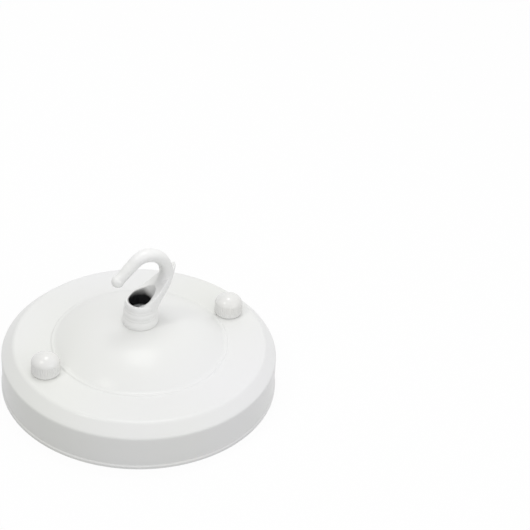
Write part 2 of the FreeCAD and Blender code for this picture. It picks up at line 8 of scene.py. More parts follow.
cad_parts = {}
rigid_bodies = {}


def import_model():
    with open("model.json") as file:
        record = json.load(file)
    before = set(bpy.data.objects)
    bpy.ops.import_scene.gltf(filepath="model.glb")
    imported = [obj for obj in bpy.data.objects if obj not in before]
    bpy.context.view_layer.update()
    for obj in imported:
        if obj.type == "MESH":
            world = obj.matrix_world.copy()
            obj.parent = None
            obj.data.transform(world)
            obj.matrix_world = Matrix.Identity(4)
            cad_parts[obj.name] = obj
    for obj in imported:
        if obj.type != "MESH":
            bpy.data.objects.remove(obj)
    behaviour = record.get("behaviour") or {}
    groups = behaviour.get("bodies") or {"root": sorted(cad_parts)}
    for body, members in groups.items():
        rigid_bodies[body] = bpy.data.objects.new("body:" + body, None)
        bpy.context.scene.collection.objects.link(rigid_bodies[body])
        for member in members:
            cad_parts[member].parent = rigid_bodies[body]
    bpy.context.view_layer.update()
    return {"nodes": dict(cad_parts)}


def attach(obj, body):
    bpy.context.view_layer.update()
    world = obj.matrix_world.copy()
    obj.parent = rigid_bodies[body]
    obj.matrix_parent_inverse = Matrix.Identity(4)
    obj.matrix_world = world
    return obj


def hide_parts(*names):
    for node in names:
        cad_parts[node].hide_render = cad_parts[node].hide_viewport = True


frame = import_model()
nodes = frame["nodes"]
mm = 0.001  # sizes of the rose are in millimetres, those of the studio in metres

# vertices closer than this, in metres, become one: on pieces made here, and on copies of the solids
turnedWeld = 1e-7
solidWeld = 1e-6


def deselectAll():
    if bpy.context.mode != "OBJECT":
        bpy.ops.object.mode_set(mode="OBJECT")
    bpy.ops.object.select_all(action="DESELECT")


def makeActive(piece):
    deselectAll()
    piece.select_set(True)
    bpy.context.view_layer.objects.active = piece


def editAll(piece):
    makeActive(piece)
    bpy.ops.object.mode_set(mode="EDIT")
    bpy.ops.mesh.select_all(action="SELECT")


def weld(piece, distance):
    editAll(piece)
    bpy.ops.mesh.remove_doubles(threshold=distance)
    bpy.ops.object.mode_set(mode="OBJECT")


def faceOutwards(piece):
    weld(piece, turnedWeld)
    editAll(piece)
    bpy.ops.mesh.normals_make_consistent(inside=False)
    bpy.ops.object.mode_set(mode="OBJECT")


def applyModifiers(piece):
    makeActive(piece)
    for modifier in list(piece.modifiers):
        bpy.ops.object.modifier_apply(modifier=modifier.name)


def smoothByAngle(piece, degrees):
    makeActive(piece)
    bpy.ops.object.shade_smooth_by_angle(angle=math.radians(degrees))


def selectVerts(piece, keep):
    # in edit mode, selects the vertices for which keep(place in millimetres) is true
    mesh = bmesh.from_edit_mesh(piece.data)
    mesh.select_mode = {"VERT"}
    for vert in mesh.verts:
        vert.select_set(keep(vert.co / mm))
    mesh.select_flush_mode()
    bmesh.update_edit_mesh(piece.data)


# camera: looks down on the rose from about 35 degrees, the left nut nearest

cameraSettings = {
    "azimuth": -34.93,
    "elevation": 34.55,
    "roll": 4.04,
    "distance": 608.42,
    "aimHeight": 12.0,
    "slideRight": 49.25,
    "slideUp": 34.70,
    "pixelFocal": 1548.6,
    "picturePixels": 530,
    "sensorWidth": 36,
    "clipStart": 0.01,
}


def placeCamera(s):
    azimuth, elevation, roll = (math.radians(s[key]) for key in ("azimuth", "elevation", "roll"))
    level = math.cos(elevation)
    back = Vector((math.sin(azimuth) * level, -math.cos(azimuth) * level, math.sin(elevation)))
    right = Vector((math.cos(azimuth), math.sin(azimuth), 0))
    up = back.cross(right)
    right, up = right * math.cos(roll) + up * math.sin(roll), up * math.cos(roll) - right * math.sin(roll)
    aim = Vector((0, 0, s["aimHeight"]))
    place = aim + back * s["distance"] + right * s["slideRight"] + up * s["slideUp"]
    bpy.ops.object.camera_add(location=place * mm)
    camera = bpy.context.object
    camera.rotation_euler = Matrix((right, up, back)).transposed().to_euler()
    camera.data.sensor_width = s["sensorWidth"]
    camera.data.lens = s["pixelFocal"] / s["picturePixels"] * s["sensorWidth"]
    camera.data.clip_start = s["clipStart"]
    bpy.context.scene.camera = camera


placeCamera(cameraSettings)
print("camera placed")


# turned pieces: a ring is drawn out and scaled from point to point of a profile (radius, height)

def sagPoints(start, end, sag, steps):
    # points after start on the arc to end that bulges by sag to the right of its way
    (r0, z0), (r1, z1) = start, end
    way = Vector((r1 - r0, z1 - z0))
    side = Vector((way.y, -way.x)).normalized()
    half = way.length / 2
    radius = (half ** 2 + sag ** 2) / (2 * sag)
    centre = Vector(((r0 + r1) / 2, (z0 + z1) / 2)) - side * (radius - sag)
    swing = math.asin(min(1, half / radius))
    points = []
    for n in range(1, steps + 1):
        angle = swing * (2 * n / steps - 1)
        place = centre + side * (radius * math.cos(angle)) + way.normalized() * (radius * math.sin(angle))
        points.append((place.x, place.y))
    return points


def roundCorners(points, radii, steps):
    # the same run of points with an arc at each inner corner whose radius isn't zero
    out = [points[0]]
    for before, corner, after, radius in zip(points, points[1:], points[2:], radii):
        corner = Vector(corner)
        into = (Vector(before) - corner).normalized()
        away = (Vector(after) - corner).normalized()
        half = into.angle(away) / 2
        if radius == 0:
            out.append(tuple(corner))
            continue
        trim = radius / math.tan(half)
        centre = corner + (into + away).normalized() * (radius / math.sin(half))
        first, last = corner + into * trim - centre, corner + away * trim - centre
        for n in range(steps + 1):
            out.append(tuple(centre + first.slerp(last, n / steps).normalized() * radius))
    return out + [points[-1]]


def turnPiece(name, profile, count, centre=(0, 0)):
    # radius 0 at either end of the profile closes the piece with a pole
    deselectAll()
    cx, cy = centre
    start = profile[0]
    poleFirst = start[0] == 0
    ring = (profile[1][0], start[1]) if poleFirst else start
    place = (cx * mm, cy * mm, ring[1] * mm)
    bpy.ops.mesh.primitive_circle_add(vertices=count, radius=ring[0] * mm, location=place)
    piece = bpy.context.object
    piece.name = piece.data.name = name
    bpy.ops.object.transform_apply(location=True)
    editAll(piece)
    if poleFirst:
        bpy.ops.mesh.extrude_region_move()
        bpy.ops.mesh.merge(type="CENTER")
        selectVerts(piece, lambda p: math.hypot(p.x - cx, p.y - cy) > ring[0] / 2)
        if profile[1][1] != start[1]:
            bpy.ops.transform.translate(value=(0, 0, (profile[1][1] - start[1]) * mm))
        profile = profile[1:]
    for (r0, z0), (r1, z1) in zip(profile, profile[1:]):
        bpy.ops.mesh.extrude_region_move(TRANSFORM_OT_translate={"value": (0, 0, (z1 - z0) * mm)})
        if r1 == 0:
            bpy.ops.mesh.merge(type="CENTER")
            break
        if abs(r1 - r0) > 1e-9:
            bpy.ops.transform.resize(value=(r1 / r0, r1 / r0, 1), center_override=(cx * mm, cy * mm, z1 * mm))
    faceOutwards(piece)
    return piece


def combine(piece, other, operation):
    # boolean with the other piece, which then goes
    modifier = piece.modifiers.new("combine", "BOOLEAN")
    modifier.operation = operation
    modifier.solver = "EXACT"
    modifier.object = other
    applyModifiers(piece)
    bpy.data.objects.remove(other, do_unlink=True)


def copyOf(piece, name, shift=(0, 0, 0)):
    makeActive(piece)
    bpy.ops.object.duplicate()
    twin = bpy.context.object
    twin.name = twin.data.name = name
    if twin.parent:
        bpy.ops.object.parent_clear(type="CLEAR_KEEP_TRANSFORM")
    twin.location = Vector(shift) * mm
    bpy.ops.object.transform_apply(location=True, rotation=True, scale=True)
    return twin


def standFor(piece, node, body, material):
    piece.data.materials.clear()
    piece.data.materials.append(material)
    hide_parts(node)
    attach(piece, body)


# materials: every pattern is in object space, so it stays put from any side

def newMaterial(name):
    material = bpy.data.materials.new(name)
    material.use_nodes = True
    tree = material.node_tree
    return material, tree, tree.nodes["Principled BSDF"]


def addNode(tree, kind, **values):
    node = tree.nodes.new(kind)
    for key, value in values.items():
        if key in node.inputs:
            node.inputs[key].default_value = value
        else:
            setattr(node, key, value)
    return node


def objectPoints(tree, stretch=(1, 1, 1)):
    points = addNode(tree, "ShaderNodeTexCoord").outputs["Object"]
    if stretch == (1, 1, 1):
        return points
    mapping = addNode(tree, "ShaderNodeMapping")
    mapping.inputs["Scale"].default_value = stretch
    tree.links.new(points, mapping.inputs["Vector"])
    return mapping.outputs["Vector"]


def noise(tree, points, scale, detail, distortion=0.0):
    node = addNode(tree, "ShaderNodeTexNoise", Scale=scale, Detail=detail, Distortion=distortion)
    tree.links.new(points, node.inputs["Vector"])
    return node.outputs["Fac"]


def spread(tree, value, low, high, fromLow=0.3, fromHigh=0.7):
    # the usual range is the one that most of a noise lies in
    node = addNode(tree, "ShaderNodeMapRange")
    for key, number in (("From Min", fromLow), ("From Max", fromHigh), ("To Min", low), ("To Max", high)):
        node.inputs[key].default_value = number
    tree.links.new(value, node.inputs["Value"])
    return node.outputs["Result"]


def calculate(tree, first, second, operation="ADD"):
    node = addNode(tree, "ShaderNodeMath", operation=operation)
    for socket, value in zip(node.inputs, (first, second)):
        if isinstance(value, (int, float)):
            socket.default_value = value
        else:
            tree.links.new(value, socket)
    return node.outputs[0]


def twoColours(tree, value, first, second):
    node = addNode(tree, "ShaderNodeMix", data_type="RGBA")
    for socket, colour in ((node.inputs[6], first), (node.inputs[7], second)):
        if isinstance(colour, tuple):
            socket.default_value = (*colour, 1)
        else:
            tree.links.new(colour, socket)
    tree.links.new(value, node.inputs[0])
    return node.outputs[2]


def bump(tree, shader, height, strength, distance):
    node = addNode(tree, "ShaderNodeBump", Strength=strength, Distance=distance)
    tree.links.new(height, node.inputs["Height"])
    tree.links.new(node.outputs["Normal"], shader.inputs["Normal"])


# ranges of pointiness, which is 0.5 on a flat
hollowRange = (0.40, 0.49)
edgeRange = (0.52, 0.62)


def pointiness(tree):
    return addNode(tree, "ShaderNodeNewGeometry").outputs["Pointiness"]


def raisedEdges(tree):
    # 0 on flats and in hollows, up to 1 on outer edges
    return spread(tree, pointiness(tree), 0, 1, *edgeRange)


# enamel: the face is smooth, the nuts and the casting have a slight orange peel

enamelSettings = {
    "warmWhite": (0.800, 0.806, 0.778),
    "coolWhite": (0.815, 0.815, 0.822),
    "tintScale": 14,
    "tintDetail": 1.0,
    "rough": 0.31,
    "gloss": 0.2,
    "coat": 0.12,
    "coatRoughness": 0.10,
    "paintedShading": 0,
    "peelStrength": 0,
    "peelDetail": 1.5,
    "waveDetail": 1.0,
    "waveShare": 4.0,
}

nutEnamelSettings = {
    **enamelSettings,
    "warmWhite": (0.79, 0.785, 0.765),
    "coolWhite": (0.80, 0.80, 0.79),
    "tintScale": 120,
    "rough": 0.2,
    "gloss": 0.4,
    "coat": 0.15,
    # painted shade in the knurl's hollows and painted highlight on its outer edges, by pointiness
    "paintedShading": 0.25,
    "hollowShadeGrey": (0.70, 0.70, 0.68),
    "edgeHighlightWhite": (0.86, 0.86, 0.85),
    "peelScale": 900,
    "waveScale": 260,
    "peelStrength": 0.08,
    "peelDepth": 0.02,
}

castEnamelSettings = {
    **enamelSettings,
    "warmWhite": (0.865, 0.87, 0.845),
    "coolWhite": (0.875, 0.875, 0.875),
    "tintScale": 60,
    "gloss": 0.4,
    "peelScale": 520,
    "waveScale": 170,
    "peelStrength": 0.06,
    "peelDepth": 0.05,
    # painted shade: these settings colour the casting near black deep inside its bore
    "boreShadeColour": (0.012, 0.012, 0.014),
    "boreRadial": (4.55, 5.2),
    "boreFade": (37.9, 42.7),
    "boreGrain": 500,
    "boreDetail": 3,
    "boreRagged": 1.6,
}


# painted shade: inside the bore the colour turns near black, darkest deep down and fading out towards the
# mouth, for the shade in the deep cavity of the casting
def paintedBoreShade(tree, colour, s):
    # the casting is sprayed from outside, so its bore stays dark, bare metal
    parts = addNode(tree, "ShaderNodeSeparateXYZ")
    tree.links.new(objectPoints(tree), parts.inputs[0])
    x, y, z = (parts.outputs[n] for n in range(3))
    across = calculate(tree, calculate(tree, x, x, "MULTIPLY"), calculate(tree, y, y, "MULTIPLY"))
    radial = spread(tree, calculate(tree, across, 0.5, "POWER"), 1, 0, *(r * mm for r in s["boreRadial"]))
    grain = noise(tree, objectPoints(tree), s["boreGrain"], s["boreDetail"])
    ragged = calculate(tree, z, calculate(tree, grain, s["boreRagged"] * mm, "MULTIPLY"))
    depth = spread(tree, ragged, 1, 0, *(height * mm for height in s["boreFade"]))
    return twoColours(tree, calculate(tree, radial, depth, "MULTIPLY"), colour, s["boreShadeColour"])


def makeEnamel(name, s):
    material, tree, shader = newMaterial(name)
    points = objectPoints(tree)
    tint = spread(tree, noise(tree, points, s["tintScale"], s["tintDetail"]), 0, 1)
    colour = twoColours(tree, tint, s["warmWhite"], s["coolWhite"])
    # painted shade: darker grey in hollows and creases; painted highlight: whiter on outer edges
    if s["paintedShading"]:
        hollow = spread(tree, pointiness(tree), s["paintedShading"], 0, *hollowRange)
        colour = twoColours(tree, hollow, colour, s["hollowShadeGrey"])
        colour = twoColours(tree, raisedEdges(tree), colour, s["edgeHighlightWhite"])
    # painted shade in the bore
    if "boreShadeColour" in s:
        colour = paintedBoreShade(tree, colour, s)
    tree.links.new(colour, shader.inputs["Base Color"])
    if s["peelStrength"]:
        peel = noise(tree, points, s["peelScale"], s["peelDetail"])
        wave = noise(tree, points, s["waveScale"], s["waveDetail"])
        height = calculate(tree, peel, calculate(tree, wave, s["waveShare"], "MULTIPLY"))
        bump(tree, shader, height, s["peelStrength"], s["peelDepth"] * mm)
    shader.inputs["Roughness"].default_value = s["rough"]
    shader.inputs["Specular IOR Level"].default_value = s["gloss"]
    shader.inputs["Coat Weight"].default_value = s["coat"]
    shader.inputs["Coat Roughness"].default_value = s["coatRoughness"]
    return material


# metals and plastics: two shades in clouds, and fine lines in the roughness and the bump

finishSettings = {
    "metal": 1.0,
    "stretch": (1, 1, 1),
    "grain": 900,
    "grainDetail": 3,
    "patch": 120,
    "patchDetail": 4,
    "patchDistortion": 0.6,
    "bumpStrength": 0.15,
    "bumpDepth": 0.01,
    "edge": None,
}

zincSettings = {
    "colour": (0.60, 0.62, 0.64),
    "second": (0.50, 0.52, 0.56),
    "rough": (0.24, 0.40),
}

brightZincSettings = {
    **zincSettings,
    "stretch": (0.12, 1, 1),
    "edge": (0.72, 0.73, 0.74),
}

turnedZincSettings = {
    **zincSettings,
    "stretch": (1, 1, 9),
    "grain": 500,
    "patch": 200,
    "edge": (0.74, 0.75, 0.76),
}

springSteelSettings = {
    "colour": (0.30, 0.30, 0.31),
    "second": (0.20, 0.20, 0.21),
    "rough": (0.35, 0.5),
    "edge": (0.5, 0.5, 0.5),
}

tinnedBrassSettings = {
    "colour": (0.66, 0.66, 0.62),
    "second": (0.58, 0.56, 0.48),
    "rough": (0.3, 0.45),
    "stretch": (1, 0.15, 1),
    "edge": (0.74, 0.68, 0.5),
}

turnedBrassSettings = {
    "colour": (0.72, 0.53, 0.24),
    "second": (0.58, 0.40, 0.17),
    "rough": (0.22, 0.38),
    "stretch": (1, 1, 9),
    "grain": 600,
    "patch": 160,
    "edge": (0.84, 0.66, 0.36),
}

bushPlasticSettings = {
    "colour": (0.022, 0.022, 0.024),
    "second": (0.034, 0.034, 0.036),
    "rough": (0.42, 0.55),
    "metal": 0.0,
    "grain": 1500,
    "bumpStrength": 0.25,
}

ivoryPlasticSettings = {
    "colour": (0.74, 0.71, 0.62),
    "second": (0.69, 0.66, 0.57),
    "rough": (0.38, 0.5),
    "metal": 0.0,
    "grain": 1200,
    "bumpStrength": 0.12,
    "edge": (0.80, 0.78, 0.70),
    "milky": 0.08,
    "milkyDepth": 1.0,
}


def makeFinish(name, ownSettings):
    s = {**finishSettings, **ownSettings}
    material, tree, shader = newMaterial(name)
    cloud = noise(tree, objectPoints(tree), s["patch"], s["patchDetail"], s["patchDistortion"])
    colour = twoColours(tree, spread(tree, cloud, 0, 1), s["colour"], s["second"])
    if s["edge"]:
        colour = twoColours(tree, raisedEdges(tree), colour, s["edge"])
    tree.links.new(colour, shader.inputs["Base Color"])
    lines = noise(tree, objectPoints(tree, s["stretch"]), s["grain"], s["grainDetail"])
    tree.links.new(spread(tree, lines, *s["rough"]), shader.inputs["Roughness"])
    bump(tree, shader, lines, s["bumpStrength"], s["bumpDepth"] * mm)
    shader.inputs["Metallic"].default_value = s["metal"]
    if "milky" in s:
        shader.inputs["Subsurface Weight"].default_value = s["milky"]
        shader.inputs["Subsurface Scale"].default_value = s["milkyDepth"] * mm
    return material


faceEnamel = makeEnamel("faceEnamel", enamelSettings)
nutEnamel = makeEnamel("nutEnamel", nutEnamelSettings)
castEnamel = makeEnamel("castEnamel", castEnamelSettings)
brightZinc = makeFinish("brightZinc", brightZincSettings)
turnedZinc = makeFinish("turnedZinc", turnedZincSettings)
springSteel = makeFinish("springSteel", springSteelSettings)
tinnedBrass = makeFinish("tinnedBrass", tinnedBrassSettings)
turnedBrass = makeFinish("turnedBrass", turnedBrassSettings)
bushPlastic = makeFinish("bushPlastic", bushPlasticSettings)
ivoryPlastic = makeFinish("ivoryPlastic", ivoryPlasticSettings)
print("materials made")


# canopy: one pressed sheet, from the rim's lip up to the dome's hole

canopySettings = {
    "rim": 54.0,
    "lipRing": 0.25,
    "lipHeight": 1.0,
    "lipRadius": 0.25,
    "wall": 53.6,
    "wallFoot": 1.4,
    "wallFootRadius": 0.3,
    "wallRings": (1.9, 3.0, 6.0, 9.0, 12.0),
    "wallTop": 14.0,
    "bendRadius": 1.5,
    "shoulderShares": (0.4, 0.7),
    "shoulder": (49.84, 17.48),
    "face": (48.9, 18.35),
    "pressRadius": 2.5,
    "faceRings": (46.5, 44.0, 41.5, 39.0, 36.5),
    "step": 34.6,
    "foot": (34.1, 18.85),
    "footRadius": 0.75,
    "footInner": 33.2,
    "domeSag": 1.9,
    "domeSteps": 26,
    "crown": (7.3, 28.05),
    "crownRings": (6.6, 6.0),
    "hole": 5.2,
    "arcSteps": 6,
    "around": 192,
    "sheet": 0.8,
    "studX": 40.5,
    "studHole": 2.25,
    "holeSides": 48,
    "cutterHeight": 4,
    "sharpAngle": 40,
}


def makeCanopy(s):
    rim, wall = s["rim"], s["wall"]
    wallTop, shoulder = Vector((wall, s["wallTop"])), Vector(s["shoulder"])
    faceHeight, footHeight, crownHeight = (s[key][1] for key in ("face", "foot", "crown"))
    # each corner of the outline is its distance from the axis, its height and its rounding
    outline = [(rim, 0, 0), (rim, s["lipRing"], 0), (rim, s["lipHeight"], s["lipRadius"])]
    outline.append((wall, s["wallFoot"], s["wallFootRadius"]))
    outline += [(wall, height, 0) for height in s["wallRings"]]
    outline.append((wall, s["wallTop"], s["bendRadius"]))
    outline += [(*wallTop.lerp(shoulder, share), 0) for share in s["shoulderShares"]]
    outline += [(*s["shoulder"], 0), (*s["face"], s["pressRadius"])]
    outline += [(r, faceHeight, 0) for r in s["faceRings"]]
    outline += [(s["step"], faceHeight, s["footRadius"]), (*s["foot"], s["footRadius"])]
    outline.append((s["footInner"], footHeight, 0))
    radii = [corner[2] for corner in outline[1:-1]]
    profile = roundCorners([corner[:2] for corner in outline], radii, s["arcSteps"])
    profile += sagPoints((s["footInner"], footHeight), s["crown"], s["domeSag"], s["domeSteps"])
    profile += [(r, crownHeight) for r in (*s["crownRings"], s["hole"])]
    canopy = turnPiece("canopySheet", profile, s["around"])
    crownFace = min(canopy.data.polygons, key=lambda polygon: polygon.center.xy.length_squared)
    if crownFace.normal.z < 0:
        editAll(canopy)
        bpy.ops.mesh.flip_normals()
        bpy.ops.object.mode_set(mode="OBJECT")
    sheet = canopy.modifiers.new("sheet", "SOLIDIFY")
    sheet.thickness = s["sheet"] * mm
    sheet.offset = -1
    sheet.use_quality_normals = True
    applyModifiers(canopy)
    for side in (-1, 1):
        deselectAll()
        place = (side * s["studX"] * mm, 0, faceHeight * mm)
        bpy.ops.mesh.primitive_cylinder_add(
            vertices=s["holeSides"], radius=s["studHole"] * mm, depth=s["cutterHeight"] * mm, location=place
        )
        combine(canopy, bpy.context.object, "DIFFERENCE")
    weld(canopy, turnedWeld)
    smoothByAngle(canopy, s["sharpAngle"])
    return canopy


canopy = makeCanopy(canopySettings)
standFor(canopy, "canopy", "rose", faceEnamel)
print("canopy pressed", len(canopy.data.polygons))


# hook: the solid is melted into one skin, so its joints get the fillets of a casting

hookSettings = {
    "voxel": 0.17,
    "meltRounds": 9,
    "meltFactor": 0.5,
}


def makeHook(s):
    hook = copyOf(nodes["hook"], "castHook")
    weld(hook, solidWeld)
    skin = hook.modifiers.new("skin", "REMESH")
    skin.mode = "VOXEL"
    skin.voxel_size = s["voxel"] * mm
    skin.use_smooth_shade = True
    melt = hook.modifiers.new("melt", "SMOOTH")
    melt.factor = s["meltFactor"]
    melt.iterations = s["meltRounds"]
    applyModifiers(hook)
    bpy.ops.object.shade_smooth()
    return hook


hook = makeHook(hookSettings)
standFor(hook, "hook", "rose", castEnamel)
print("hook cast", len(hook.data.polygons))


# thumb nuts: knurled barrel, domed end, countersunk blind hole

nutSettings = {
    "studX": 40.5,
    "base": 18.35,
    "radius": 5.5,
    "height": 8.3,
    "barrel": 4.1,
    "corner": 3.3,
    "arcSteps": 8,
    "chamfer": 0.5,
    "chamferRing": (0.45, 0.3),
    "chamferTop": 0.9,
    "mouth": 3.0,
    "mouthFlat": 0.25,
    "mouthEdge": 0.15,
    "bore": 2.05,
    "blind": 6.8,
    "drillEdge": 0.3,
    "sideRings": (0.95, 1.25, 2.0, 3.0, 3.6),
    "ribs": 36,
    "ribLines": 4,
    "ribDeep": 0.22,
    "ribLow": 1.1,
    "ribTop": 4.8,
    "ribEdge": 0.45,
    "grooves": (((0,), 1.0), ((1, 3), 0.42)),
    "sharpAngle": 50,
}


def pressGrooves(nut, s, lines, share):
    # presses in those of a rib's upright lines of vertices that lines names, by a share of the full depth
    step = 2 * math.pi / (s["ribs"] * s["ribLines"])

    def inGroove(p):
        x = p.x + s["studX"]
        line = round(math.atan2(p.y, x) / step) % s["ribLines"]
        between = s["ribLow"] < p.z - s["base"] < s["ribTop"]
        return line in lines and between and math.hypot(x, p.y) > s["radius"] - s["ribEdge"]

    editAll(nut)
    selectVerts(nut, inGroove)
    ratio = 1 - s["ribDeep"] * share / s["radius"]
    bpy.ops.transform.resize(value=(ratio, ratio, 1), center_override=(-s["studX"] * mm, 0, s["base"] * mm))
    bpy.ops.object.mode_set(mode="OBJECT")


def makeThumbNut(s):
    radius, height, barrel, corner = (s[key] for key in ("radius", "height", "barrel", "corner"))
    bore, blind, mouth, edge, chamfer = (s[key] for key in ("bore", "blind", "mouth", "drillEdge", "chamfer"))
    # the cap is an arc about the axis that runs into the corner's arc without a crease
    rise, inset = height - barrel, radius - corner
    capRadius = (inset ** 2 + rise ** 2 - corner ** 2) / (2 * (rise - corner))
    lean = math.atan2(inset, barrel - (height - capRadius))
    profile = [(0, blind), (bore - edge, blind), (bore, blind - edge)]
    profile += [(bore, s["mouthFlat"] + mouth - bore), (mouth, s["mouthFlat"]), (mouth + s["mouthEdge"], 0)]
    inward, up = s["chamferRing"]
    profile += [(radius - chamfer, 0), (radius - chamfer * inward, chamfer * up)]
    profile += [(radius, ring) for ring in (chamfer * s["chamferTop"], *s["sideRings"], barrel)]
    steps, turn = s["arcSteps"], math.pi / 2 - lean
    for n in range(1, steps + 1):
        angle = turn * n / steps
        profile.append((inset + corner * math.cos(angle), barrel + corner * math.sin(angle)))
    for n in range(steps - 1, 0, -1):
        angle = lean * n / steps
        profile.append((capRadius * math.sin(angle), height - capRadius * (1 - math.cos(angle))))
    profile.append((0, height))
    lifted = [(r, z + s["base"]) for r, z in profile]
    nut = turnPiece("thumbNutLeft", lifted, s["ribs"] * s["ribLines"], (-s["studX"], 0))
    for lines, share in s["grooves"]:
        pressGrooves(nut, s, lines, share)
    smoothByAngle(nut, s["sharpAngle"])
    return nut


nutLeft = makeThumbNut(nutSettings)
nutRight = copyOf(nutLeft, "thumbNutRight", (2 * nutSettings["studX"], 0, 0))
standFor(nutLeft, "thumb_nut_left", "nut_left", nutEnamel)
standFor(nutRight, "thumb_nut_right", "nut_right", nutEnamel)
print("thumb nuts turned", len(nutLeft.data.polygons))


# threads: one turn of the profile is screwed up the rod, then cut to the blank's ends and chamfers

threadSettings = {
    "flat": 0.125,
    "flank": 0.3125,
    "turnsBelow": 2,
    "spareTurns": 4,
}


def threadedRod(name, s, low, high, blank):
    pitch, depth, thread = s["pitch"], s["depth"], threadSettings
    deselectAll()
    bpy.ops.mesh.primitive_circle_add(vertices=3, radius=mm)
    rod = bpy.context.object
    rod.name = rod.data.name = name
    editAll(rod)
    bpy.ops.mesh.merge(type="CENTER")
    bpy.ops.mesh.select_all(action="SELECT")
    start = Vector((s["radius"] - depth, 0, low - thread["turnsBelow"] * pitch))
    bpy.ops.transform.translate(value=start * mm)
    # one pitch from root to root, as steps outward and shares of the pitch upward
    half = [(0, thread["flat"]), (depth, thread["flank"]), (0, thread["flat"])]
    for outward, up in (*half, (-depth, thread["flank"]), half[0]):
        bpy.ops.mesh.extrude_region_move(TRANSFORM_OT_translate={"value": (outward * mm, 0, up * pitch * mm)})
    bpy.ops.object.mode_set(mode="OBJECT")
    screw = rod.modifiers.new("thread", "SCREW")
    screw.screw_offset = pitch * mm
    screw.iterations = math.ceil((high - low) / pitch) + thread["spareTurns"]
    screw.steps = screw.render_steps = s["around"]
    screw.use_merge_vertices = True
    screw.merge_threshold = solidWeld
    applyModifiers(rod)
    for height, clearOuter in ((high + pitch / 2, True), (low - pitch / 2, False)):
        editAll(rod)
        level = {"plane_co": (0, 0, height * mm), "plane_no": (0, 0, 1)}
        bpy.ops.mesh.bisect(**level, use_fill=True, clear_outer=clearOuter, clear_inner=not clearOuter)
    faceOutwards(rod)
    combine(rod, blank, "INTERSECT")
    return rod


studSettings = {
    "x": 40.5,
    "radius": 2.0,
    "pitch": 0.7,
    "depth": 0.38,
    "around": 32,
    "top": 24.55,
    "chamfer": 0.5,
    "headTop": 3.2,
    "headHeight": 2.4,
    "headRadius": 3.5,
    "headEdge": 0.12,
    "headRound": ((0, 0.5), (0.18, 0.18), (0.6, 0)),
    "overlap": 0.2,
    "sides": 48,
    "slotLong": 10.5,
    "slotWide": 1.1,
    "slotDeep": 1.2,
    "sharpAngle": 35,
}


def makeStud(s):
    top, seat, head = s["top"], s["headTop"], s["headTop"] - s["headHeight"]
    radius, chamfer, low = s["radius"], s["chamfer"], seat - s["overlap"]
    shape = [(0, low), (radius, low), (radius, top - chamfer), (radius - chamfer, top), (0, top)]
    stud = threadedRod("studLeft", s, low, top, turnPiece("studBlank", shape, s["sides"]))
    rim, edge = s["headRadius"], s["headEdge"]
    shape = [(0, seat), (rim - edge, seat), (rim, seat - edge)]
    shape += [(rim - inward, head + up) for inward, up in s["headRound"]]
    screwHead = turnPiece("studHead", shape + [(0, head)], s["sides"])
    deselectAll()
    bpy.ops.mesh.primitive_cube_add(size=1, location=(0, 0, head * mm))
    slotCutter = bpy.context.object
    slotCutter.scale = Vector((s["slotLong"], s["slotWide"], 2 * s["slotDeep"])) * mm
    bpy.ops.object.transform_apply(location=True, scale=True)
    combine(screwHead, slotCutter, "DIFFERENCE")
    combine(stud, screwHead, "UNION")
    makeActive(stud)
    stud.location.x = -s["x"] * mm
    bpy.ops.object.transform_apply(location=True)
    smoothByAngle(stud, s["sharpAngle"])
    return stud


studLeft = makeStud(studSettings)
studRight = copyOf(studLeft, "studRight", (2 * studSettings["x"], 0, 0))
standFor(studLeft, "stud_left", "rose", turnedBrass)
standFor(studRight, "stud_right", "rose", turnedBrass)
print("studs threaded", len(studLeft.data.polygons))


# nipple: hollow threaded tube inside the boss and under the dome

nippleSettings = {
    "radius": 5.0,
    "pitch": 1.0,
    "depth": 0.5,
    "around": 48,
    "low": 21.75,
    "top": 32.25,
    "chamfer": 0.4,
    "sides": 64,
    "bore": 3.6,
    "flare": 0.25,
    "flareDeep": 0.3,
    "reamerPast": 1,
    "sharpAngle": 35,
}


def makeNipple(s):
    low, top, r, c = s["low"], s["top"], s["radius"], s["chamfer"]
    shape = [(0, low), (r - c, low), (r, low + c), (r, top - c), (r - c, top), (0, top)]
    nipple = threadedRod("nipple", s, low, top, turnPiece("nippleBlank", shape, s["sides"]))
    bore, wide, deep, past = s["bore"], s["bore"] + s["flare"], s["flareDeep"], s["reamerPast"]
    shape = [(0, low - past), (wide, low - past), (wide, low), (bore, low + deep), (bore, top - deep)]
    shape += [(wide, top), (wide, top + past), (0, top + past)]
    combine(nipple, turnPiece("nippleReamer", shape, s["sides"]), "DIFFERENCE")
    smoothByAngle(nipple, s["sharpAngle"])
    return nipple


nipple = makeNipple(nippleSettings)
standFor(nipple, "threaded_nipple", "rose", turnedZinc)
print("nipple threaded", len(nipple.data.polygons))


# inner pieces: copies of the solids with their edges broken by a width, and a finish of their own

innerSettings = {
    "strap": ("strapPlate", "zinc_steel", 0.18, brightZinc),
    "tooth_washer": ("toothWasher", "spring_steel", 0.06, springSteel),
    "earth_tag": ("earthTag", "tinned_brass", 0.1, tinnedBrass),
    "lock_nut": ("lockNut", "zinc_steel", 0.12, turnedZinc),
    "cord_bush": ("cordBush", "bush_plastic", 0.15, bushPlastic),
    "earth_screw": ("earthScrew", "brass", 0.12, turnedBrass),
    "cup_washer": ("cupWasher", "brass", 0.08, turnedBrass),
    "terminal_housing": ("terminalHousing", "terminal_plastic", 0.2, ivoryPlastic),
    "terminal_fixing_screw": ("terminalFixingScrew", "zinc_steel", 0.08, turnedZinc),
    "stud_nut_left": ("studNutLeft", "brass", 0.1, turnedBrass),
    "stud_nut_right": ("studNutRight", "brass", 0.1, turnedBrass),
}
for number in (1, 2, 3):
    innerSettings[f"terminal_insert_{number}"] = (f"terminalInsert{number}", "brass", 0.1, turnedBrass)
for row in ("Inner", "Outer"):
    for number in (1, 2, 3):
        node = f"clamp_screw_{row.lower()}_{number}"
        innerSettings[node] = (f"clampScrew{row}{number}", "zinc_steel", 0.06, turnedZinc)

edgeSettings = {
    "flatAngle": 1.0,
    "sharpAngle": 35,
    "segments": 2,
}


